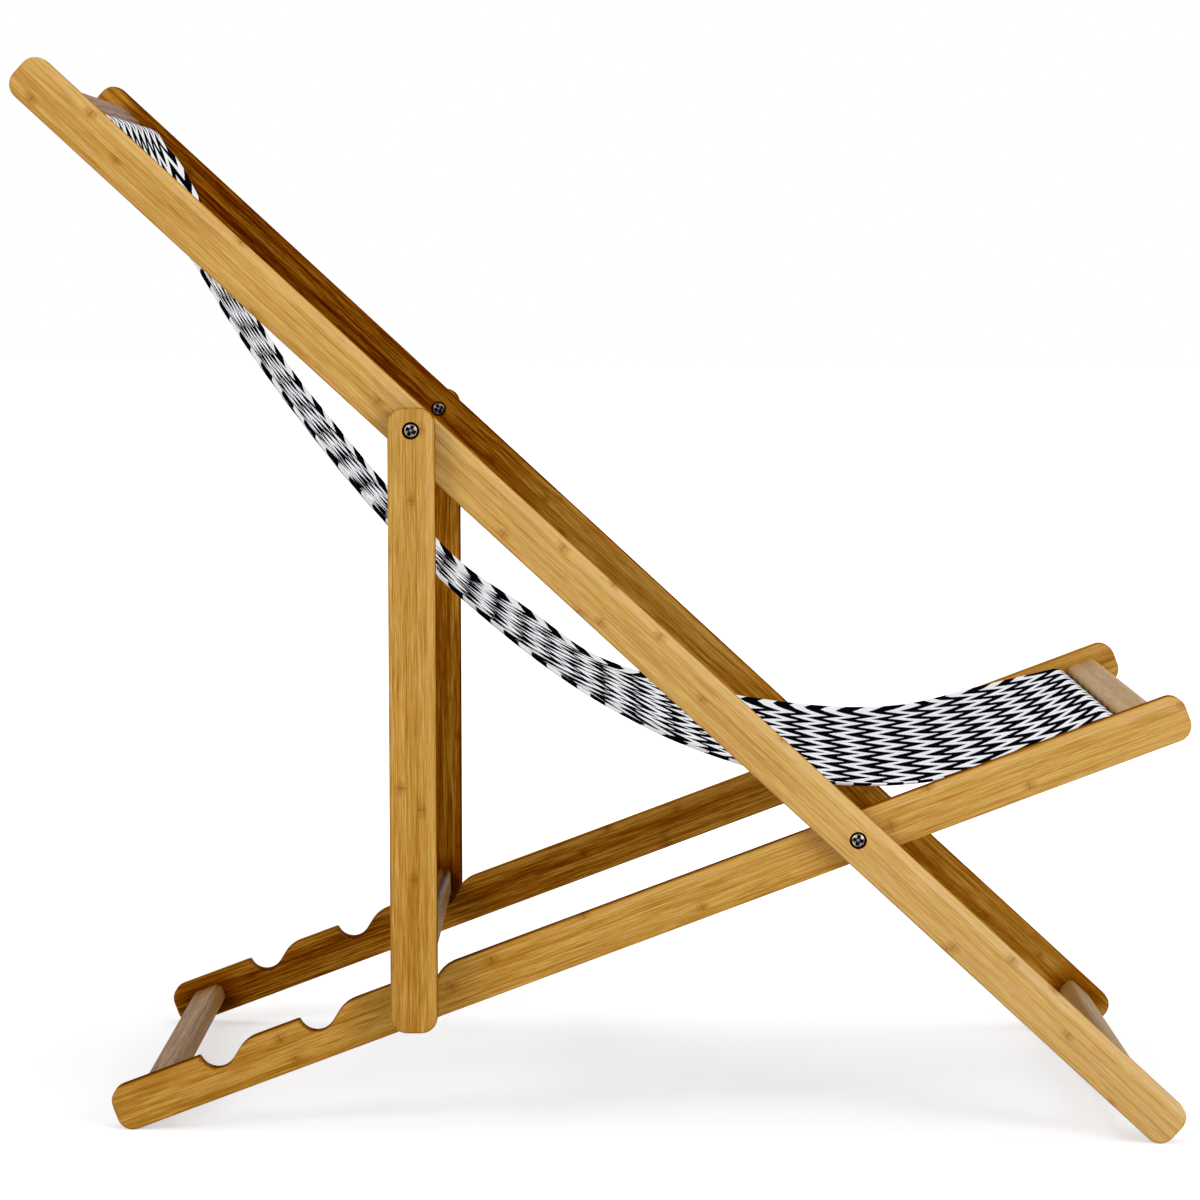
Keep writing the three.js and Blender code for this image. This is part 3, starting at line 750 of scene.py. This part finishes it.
def times(tree, first, second):
    """The product of two numbers or sockets."""
    return maths(tree, "MULTIPLY", first, second)


def rest_of(tree, value):
    """What is left of one."""
    return maths(tree, "SUBTRACT", 1.0, value)


def mixed(tree, share, first, second, blend="MIX"):
    """The second colour laid over the first one by a share, which may be a socket."""
    made = node(tree, "ShaderNodeMix", data_type="RGBA", blend_type=blend)
    for index, value in ((0, share), (6, first), (7, second)):
        if isinstance(value, bpy.types.NodeSocket):
            tree.links.new(value, made.inputs[index])
        else:
            made.inputs[index].default_value = value
    return made.outputs[2]


def ramp(tree, value, low, high):
    """Smoothly from 0 at low to 1 at high."""
    made = node(
        tree, "ShaderNodeMapRange", {0: value, 1: low, 2: high}, interpolation_type="SMOOTHSTEP",
    )
    return made.outputs[0]


def colour(red, green, blue):
    """A colour written in the usual 0 to 255 scale."""
    def linear(c):
        c /= 255
        return c / 12.92 if c <= 0.04045 else ((c + 0.055) / 1.055) ** 2.4
    return (linear(red), linear(green), linear(blue), 1)


def attribute(tree, name):
    """A mesh's own vector, such as its grain's coordinates."""
    return node(tree, "ShaderNodeAttribute", attribute_name=name).outputs["Vector"]


def axes(tree, vector):
    """A vector's three parts."""
    return node(tree, "ShaderNodeSeparateXYZ", {0: vector}).outputs


def scaled(tree, vector, x, y, z):
    """A vector with each part times its own factor."""
    made = node(tree, "ShaderNodeVectorMath", {0: vector, 1: (x, y, z)}, operation="MULTIPLY")
    return made.outputs[0]


def noise(tree, vector, detail=2.0, roughness=0.5):
    """Soft random values round a half, one bump to each unit of the vector."""
    return node(tree, "ShaderNodeTexNoise", {
        "Vector": vector, "Scale": 1.0, "Detail": detail, "Roughness": roughness,
    }).outputs["Fac"]


def cells_along(tree, value, feature="F1"):
    """Cells of uneven length along a line, about one to each unit of the value."""
    return node(
        tree, "ShaderNodeTexVoronoi", {"W": value, "Scale": 1.0, "Randomness": 0.8},
        voronoi_dimensions="1D", feature=feature,
    ).outputs


def relief(tree, shader, height, strength):
    """Fine relief of 0.3 mm at most, in the shader's normal."""
    made = node(tree, "ShaderNodeBump", {
        "Height": height, "Strength": strength, "Distance": 0.0003,
    })
    tree.links.new(made.outputs[0], shader.inputs["Normal"])


def weighted(tree, start, *parts):
    """start, plus each value's distance from a half times its weight."""
    total = start
    for value, weight in parts:
        total = maths(tree, "ADD", total, maths(tree, "MULTIPLY_ADD", value, weight, -weight / 2))
    return total


STRIP, NODE_STEP = 9.0, 330.0


def node_marks(tree, grain, u, from_middle, chance, start):
    """Bamboo's node marks: in most strips, at uneven distances along the grain, an oval smudge
    with a frayed outline and a thin dark ring across it."""
    place = maths(tree, "MULTIPLY_ADD", u, 1 / NODE_STEP, times(tree, start, 7.3))
    away = times(tree, cells_along(tree, place)["Distance"], NODE_STEP)
    frayed = noise(tree, scaled(tree, grain, 0.3, 0.8, 0.8), 3, 0.65)
    oval = node(tree, "ShaderNodeCombineXYZ", {
        0: maths(tree, "DIVIDE", away, 8.5), 1: times(tree, from_middle, 1.5),
    }).outputs[0]
    span = node(tree, "ShaderNodeVectorMath", {0: oval}, operation="LENGTH").outputs["Value"]
    smudge = rest_of(tree, ramp(tree, weighted(tree, span, (frayed, 1.6)), 0.2, 1.15))
    ring = rest_of(tree, ramp(tree, weighted(tree, away, (frayed, 2.5)), 0.2, 1.1))
    ring = times(tree, ring, smudge)
    mark = maths(tree, "MULTIPLY_ADD", ring, 0.35, times(tree, smudge, 0.5))
    return times(tree, mark, ramp(tree, chance, 0.15, 0.5))


# Painted light on a back rail's inner face, where it stands in the open at the head's end and above
# the seat: the painted shade it loses there, then where the loss sets in and where it ends,
# measured along the grain from the head's bar
PAINTED_LIGHT_STRETCHES = ((0.54, (-60.0, -45.0), (-20.0, 4.0)), (0.6, (460.0, 600.0), (760.0, 900.0)))
# The depth of the painted shadow beside a bar, and the share of it lost toward the board's edges
BAR_SHADOW_DEPTH, EDGE_LOSS = 0.9, 0.6


def inner_face_light_and_shade(tree, depth, u, across):
    """The depth of painted shade, less where an inner face gets painted light in the open, and more
    in a painted shadow beside the bar that its board carries, which is weaker toward the board's
    edges."""
    head_at, bar_at, inside = axes(tree, attribute(tree, "corners"))
    inner = ramp(tree, inside, 0.9, 1.0)
    from_head = maths(tree, "SUBTRACT", u, head_at)
    painted_light = 0.0
    for loss, setting_in, ending in PAINTED_LIGHT_STRETCHES:
        kept = maths(tree, "MULTIPLY_ADD", ramp(tree, from_head, *ending), -loss, loss)
        painted_light = maths(tree, "ADD", painted_light, times(tree, ramp(tree, from_head, *setting_in), kept))
    depth = times(tree, depth, rest_of(tree, times(tree, painted_light, inner)))

    gap = maths(tree, "ABSOLUTE", maths(tree, "SUBTRACT", u, bar_at))
    beside = rest_of(tree, ramp(tree, gap, 12.0, 36.0))
    near_edge = ramp(tree, maths(tree, "ABSOLUTE", across), 8.0, 20.0)
    middle = maths(tree, "MULTIPLY_ADD", near_edge, -EDGE_LOSS, 1.0)
    bar_shadow = times(tree, times(tree, beside, middle), inner)
    return maths(tree, "MULTIPLY_ADD", bar_shadow, BAR_SHADOW_DEPTH, depth)


def bamboo(name, pale, deep, knot, shade, ends, end_share, streaks, pale_strip, shine):
    """Laminated bamboo: strips side by side, each with its own tone, thin glue lines between them,
    fibre streaks along the board and node marks. Painted shade deepens the wood by a power of the
    shade colour, to the tone which the board gives and the grain varies, and ends show the cut
    fibres."""
    material, tree, shader = tree_of(name)
    grain = attribute(tree, "grain")
    end, painted_shade_depth, across = axes(tree, attribute(tree, "marks"))
    u, v, _ = axes(tree, grain)
    wander = noise(tree, scaled(tree, grain, 0.003, 0.02, 0.02), 1)
    strip = maths(tree, "MULTIPLY_ADD", v, 1 / STRIP, times(tree, wander, 0.4))
    cells = cells_along(tree, strip)
    tone, chance, start = node(tree, "ShaderNodeSeparateColor", {0: cells["Color"]}).outputs
    joint = cells_along(tree, strip, "DISTANCE_TO_EDGE")["Distance"]
    glue = rest_of(tree, ramp(tree, joint, 0.0, 0.1))

    fine = noise(tree, scaled(tree, grain, 0.026, 0.9, 0.9), 3, 0.7)
    broad = noise(tree, scaled(tree, grain, 0.006, 0.26, 0.26), 3, 0.6)
    cloud = noise(tree, scaled(tree, grain, 0.006, 0.04, 0.04), 2, 0.5)
    dash = noise(tree, scaled(tree, grain, 0.05, 0.8, 0.8), 2, 0.6)
    dash = times(tree, ramp(tree, dash, 0.6, 0.72), 0.35)
    mark = node_marks(tree, grain, u, cells["Distance"], chance, start)
    mark = maths(tree, "MAXIMUM", mark, dash, clamp=True)

    # From pale to deep by strip and streak, then the pale skin along one long edge, and the marks
    share = weighted(
        tree, 0.45, (tone, 0.22 * streaks), (fine, 2.4 * streaks), (broad, 0.5 * streaks),
        (cloud, 0.6),
    )
    share = maths(tree, "MULTIPLY_ADD", glue, 0.3, share, clamp=True)
    wood = mixed(tree, share, pale, deep)
    skin = ramp(tree, weighted(tree, across, (wander, 3.0)), 11.5, 13.5)
    wood = mixed(tree, times(tree, skin, pale_strip), wood, colour(228, 190, 128))
    wood = mixed(tree, mark, wood, knot)

    # Patches that lean to green or to red, and the depth of painted shade, with the painted light
    # and shadow of the back rails' inner faces
    patch = noise(tree, scaled(tree, grain, 0.055, 0.38, 0.38), 2, 0.6)
    tint = mixed(tree, ramp(tree, patch, 0.34, 0.66), (0.96, 1.0, 0.86, 1), (1.03, 0.985, 1.12, 1))
    wood = mixed(tree, 1.0, wood, tint, "MULTIPLY")
    varied = weighted(tree, 1.0, (tone, 0.9), (broad, 2.6), (fine, 3.2))
    depth = times(tree, painted_shade_depth, maths(tree, "MAXIMUM", varied, 0.5))
    depth = inner_face_light_and_shade(tree, depth, u, across)
    painted_shade_colour = node(tree, "ShaderNodeGamma", {0: shade, 1: depth}).outputs[0]
    wood = mixed(tree, 1.0, wood, painted_shade_colour, "MULTIPLY")

    # Cut ends: fibre dots
    dots = ramp(tree, noise(tree, scaled(tree, grain, 0.3, 1.6, 1.6), 2, 0.6), 0.42, 0.6)
    end_tone = mixed(tree, dots, ends, mixed(tree, 0.35, ends, deep))
    cut = times(tree, ramp(tree, end, 0.5, 0.95), end_share)
    wood = mixed(tree, cut, wood, end_tone)

    tree.links.new(wood, shader.inputs["Base Color"])
    rough = weighted(tree, 0.48, (fine, 0.3), (broad, 0.2))
    tree.links.new(rough, shader.inputs["Roughness"])
    height = maths(tree, "MULTIPLY_ADD", fine, 0.8, times(tree, mark, -0.3))
    relief(tree, shader, height, 0.4)
    shader.inputs["Specular IOR Level"].default_value = shine
    return material


THREAD = 0.8


def woven():
    """Yarn-dyed cloth: black and white zig-zags across the width, with edges stepped by the
    weave, and the threads' over-and-under as a fine bump.

    A tooth is a pingpong of the place across the cloth, and it moves the stripes along the
    cloth by up to a tooth's height. The teeth drift sideways along the seat by two sines of
    the distance from the head's rod."""
    material, tree, shader = tree_of("zigzag canvas")
    weave = attribute(tree, "weave")
    s, y, _ = axes(tree, weave)
    s_step = maths(tree, "SNAP", s, THREAD)
    y_step = maths(tree, "SNAP", maths(tree, "ADD", y, 500 * THREAD), THREAD)

    from_head = maths(tree, "SUBTRACT", SEAT_WRAP + HANG_LENGTH, s)
    swayed = maths(tree, "MAXIMUM", from_head, DRIFT_FROM)
    turn = times(tree, swayed, 2 * math.pi / DRIFT_WAVE)
    slow = times(tree, maths(tree, "SINE", maths(tree, "ADD", turn, DRIFT_PHASE[0])), DRIFT[0])
    quick = maths(tree, "SINE", maths(tree, "MULTIPLY_ADD", turn, 2.0, DRIFT_PHASE[1]))
    drift = maths(tree, "MULTIPLY_ADD", quick, DRIFT[1], slow)
    slide = maths(
        tree, "MULTIPLY_ADD", ramp(tree, from_head, *SLIDE_ENDS), -BACK_SLIDE, BACK_SLIDE,
    )
    drift = maths(tree, "ADD", drift, slide)
    across = maths(tree, "ADD", maths(tree, "ADD", y_step, TOOTH_PHASE), drift)

    tooth = maths(tree, "PINGPONG", across, TOOTH / 2)
    height = maths(
        tree, "MULTIPLY_ADD", ramp(tree, from_head, *HEIGHT_CHANGES),
        TOOTH_HEIGHT_SEAT - TOOTH_HEIGHT_BACK, TOOTH_HEIGHT_BACK,
    )
    slant = maths(tree, "DIVIDE", height, TOOTH / 2)
    along = maths(tree, "MULTIPLY_ADD", tooth, slant, s_step)
    wander = noise(tree, scaled(tree, weave, 0.02, 0.03, 0), 1)
    along = maths(tree, "ADD", along, times(tree, wander, 3.0))
    stripe = maths(tree, "DIVIDE", maths(tree, "ADD", along, STRIPE_PHASE), STRIPE)
    dark = maths(tree, "LESS_THAN", maths(tree, "FRACT", stripe), BLACK_SHARE)

    yarn = noise(tree, scaled(tree, weave, 0.25, 0.9, 0), 3, 0.6)
    white = mixed(tree, ramp(tree, yarn, 0.3, 0.75), colour(252, 252, 255), colour(243, 245, 250))
    black = mixed(tree, ramp(tree, yarn, 0.35, 0.75), colour(3, 3, 8), colour(14, 15, 22))
    tree.links.new(mixed(tree, dark, white, black), shader.inputs["Base Color"])
    warp = maths(tree, "SINE", times(tree, s, 2 * math.pi / THREAD))
    weft = maths(tree, "SINE", times(tree, y, 2 * math.pi / THREAD))
    height = maths(tree, "MULTIPLY_ADD", times(tree, warp, weft), 0.5, times(tree, yarn, 0.6))
    relief(tree, shader, height, 0.35)
    shader.inputs["Roughness"].default_value = 0.86
    shader.inputs["Specular IOR Level"].default_value = 0.0
    return material


def metal(name, bright, dull):
    """Nickel-plated steel, a little uneven, and darkened by the painted shade that a head carries
    in its recess and on its dome, which leaves painted highlights.
    """
    material, tree, shader = tree_of(name)
    place = node(tree, "ShaderNodeTexCoord").outputs["Object"]
    patches = noise(tree, scaled(tree, place, 900, 900, 900), 3, 0.6)
    head_painted_shade = axes(tree, attribute(tree, "head_painted_shade"))[0]
    plain = mixed(tree, patches, bright, dull)
    # Painted shade over the plating, in the colour of deep shadow
    tree.links.new(mixed(tree, head_painted_shade, plain, colour(20, 14, 12)), shader.inputs["Base Color"])
    tree.links.new(
        maths(tree, "MULTIPLY_ADD", patches, 0.2, 0.16), shader.inputs["Roughness"],
    )
    shader.inputs["Metallic"].default_value = 1.0
    return material


# Each shade colour is the colour of painted shade, raised to the tone that each board carries
rail_bamboo = bamboo(
    "golden bamboo", pale=colour(216, 175, 101), deep=colour(172, 123, 52),
    knot=colour(152, 98, 40), shade=colour(184, 142, 52), ends=colour(190, 140, 78),
    end_share=0.25, streaks=1.0, pale_strip=0.4, shine=0.0,
)
bar_bamboo = bamboo(
    "grey-brown bamboo", pale=colour(191, 157, 110), deep=colour(162, 128, 83),
    knot=colour(144, 110, 68), shade=colour(161, 123, 64), ends=colour(176, 128, 64),
    end_share=0.75, streaks=0.6, pale_strip=0.0, shine=0.12,
)
canvas = woven()
nickel = metal("bright nickel", colour(246, 240, 234), colour(176, 166, 160))

for group, finish in (
    (boards, rail_bamboo), (bars, bar_bamboo), (heads, nickel), ([cloth], canvas),
):
    for piece in group:
        piece.data.materials.append(finish)
for name, piece in frame["nodes"].items():
    if name.endswith(("washer_left", "washer_right")):
        piece.data.materials.clear()
        piece.data.materials.append(nickel)


# ---- floor, light and camera ----

AMBIENT = 0.4


def room():
    """A white floor that keeps shadows near the chair and whitens away from it, and an even
    light all round, which the camera and shiny things see as white."""
    floor = bpy.data.meshes.new("floor")
    reach = 30
    corners = [(-reach, -reach, 0), (reach, -reach, 0), (reach, reach, 0), (-reach, reach, 0)]
    floor.from_pydata(corners, [], [(0, 1, 2, 3)])
    floor = bpy.data.objects.new("floor", floor)
    bpy.context.collection.objects.link(floor)
    material, tree, shader = tree_of("white floor")
    shader.inputs["Base Color"].default_value = (0.8, 0.8, 0.8, 1)
    shader.inputs["Roughness"].default_value = 0.9
    shader.inputs["Specular IOR Level"].default_value = 0.0
    shader.inputs["Emission Color"].default_value = (1, 1, 1, 1)
    place = node(tree, "ShaderNodeTexCoord").outputs["Object"]
    away = node(tree, "ShaderNodeVectorMath", {0: place}, operation="LENGTH").outputs["Value"]
    whiteness = maths(tree, "MULTIPLY_ADD", ramp(tree, away, 0.8, 1.9), 0.5, 0.5)
    rays = node(tree, "ShaderNodeLightPath")
    glow = times(tree, rays.outputs["Is Camera Ray"], whiteness)
    tree.links.new(glow, shader.inputs["Emission Strength"])
    floor.data.materials.append(material)

    world = bpy.data.worlds.new("room")
    bpy.context.scene.world = world
    world.use_nodes = True
    tree = world.node_tree
    rays = node(tree, "ShaderNodeLightPath")
    seen = maths(tree, "MAXIMUM", rays.outputs["Is Camera Ray"], rays.outputs["Is Glossy Ray"])
    strength = maths(tree, "MULTIPLY_ADD", seen, 1.0 - AMBIENT, AMBIENT)
    back = tree.nodes["Background"]
    back.inputs["Color"].default_value = (1, 1, 1, 1)
    tree.links.new(strength, back.inputs["Strength"])


def softbox(name, place, toward, size, power):
    """A square lamp that faces a point of the chair."""
    light = bpy.data.lights.new(name, "AREA")
    light.shape = "RECTANGLE"
    light.size = light.size_y = size
    light.energy = power
    lamp = bpy.data.objects.new(name, light)
    bpy.context.collection.objects.link(lamp)
    lamp.location = place
    lamp.rotation_euler = (Vector(toward) - Vector(place)).to_track_quat("-Z", "Y").to_euler()


room()
softbox("right softbox", (2.1, -2.5, 1.3), (0.1, 0.0, 0.4), 1.4, 42)
softbox("left softbox", (-2.3, -2.4, 1.7), (-0.1, 0.0, 0.5), 1.4, 38)
softbox("overhead softbox", (0.3, 0.1, 2.8), (0.1, 0.0, 0.3), 2.2, 24)

# The camera's place in millimetres, and how far it turns aside, dips and rolls
CAMERA_PLACE = np.array([1.7, -3652.4, 743.7]) * MM
CAMERA_TURN, CAMERA_DIP, CAMERA_ROLL = (math.radians(a) for a in (-0.087, 4.691, 0.496))
FOCAL_PIXELS, PICTURE_PIXELS, SENSOR = 3972.9, 1200, 36
level = Vector((math.cos(CAMERA_TURN), -math.sin(CAMERA_TURN), 0))
ahead = Vector((
    math.sin(CAMERA_TURN) * math.cos(CAMERA_DIP),
    math.cos(CAMERA_TURN) * math.cos(CAMERA_DIP),
    -math.sin(CAMERA_DIP),
))
upward = level.cross(ahead)
right = level * math.cos(CAMERA_ROLL) + upward * math.sin(CAMERA_ROLL)
top = upward * math.cos(CAMERA_ROLL) - level * math.sin(CAMERA_ROLL)
lens = bpy.data.cameras.new("camera")
lens.sensor_width = SENSOR
lens.lens = SENSOR * FOCAL_PIXELS / PICTURE_PIXELS
camera = bpy.data.objects.new("camera", lens)
bpy.context.collection.objects.link(camera)
turned_so = Matrix((right, top, -ahead)).transposed().to_4x4()
camera.matrix_world = Matrix.Translation(Vector(CAMERA_PLACE)) @ turned_so
bpy.context.scene.camera = camera
bpy.context.scene.view_settings.view_transform = "Standard"
